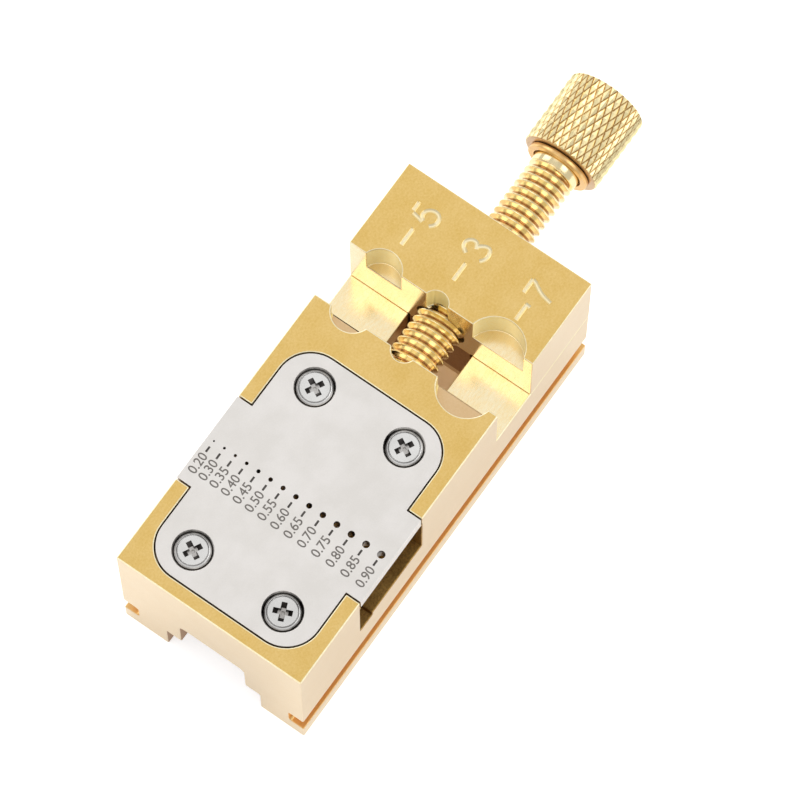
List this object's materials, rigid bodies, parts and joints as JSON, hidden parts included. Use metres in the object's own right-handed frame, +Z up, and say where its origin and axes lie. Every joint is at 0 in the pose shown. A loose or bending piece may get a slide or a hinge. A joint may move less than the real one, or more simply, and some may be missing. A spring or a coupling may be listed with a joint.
{
  "type": "watch wheel vise",
  "caption": "Small brass parallel-jaw vise for holding watch wheels, with a sliding jaw, half-round wheel seats, a knurled clamp screw and an inset steel pivot gauge plate.",
  "frame": {"origin": "centre of the overall box, at the height of the body's underside", "axes": "+X from the gauge end of the body towards the knob, +Y across the jaws towards the 5 mm wheel seat, +Z up"},
  "size_m": [0.0776, 0.025, 0.0244],
  "materials": {
    "brass": "satin",
    "turned_brass": "bright turned",
    "bronze": "satin",
    "gauge_steel": "fine matt",
    "screw_steel": "bright"
  },
  "bodies": {
    "base": {"body": "brass", "gauge_plate": "gauge_steel", "plate_screw_1": "screw_steel", "plate_screw_2": "screw_steel", "plate_screw_3": "screw_steel", "plate_screw_4": "screw_steel"},
    "jaw": {"sliding_jaw": "brass", "keeper_plate": "brass", "keeper_screw_1": "screw_steel", "keeper_screw_2": "screw_steel"},
    "washer": {"thrust_washer": "bronze"},
    "screw": {"clamp_screw": "turned_brass", "knurled_knob": "turned_brass"}
  },
  "joints": [
    {"name": "jaw_slide", "type": "slide", "parent": "base", "child": "jaw", "axis": [1, 0, 0], "range_m": [-0.0065, 0]},
    {"name": "screw_travel", "type": "slide", "parent": "base", "child": "washer", "axis": [1, 0, 0], "range_m": [-0.011, 0.005]},
    {"name": "screw_turn", "type": "hinge", "parent": "washer", "child": "screw", "pos_m": [0.0292, 0, 0.0169], "axis": [1, 0, 0], "range_deg": [-3960, 1800]}
  ],
  "couplings": [
    {"joint": "screw_turn", "follows": "screw_travel", "rad_per_m": 6283.2}
  ]
}
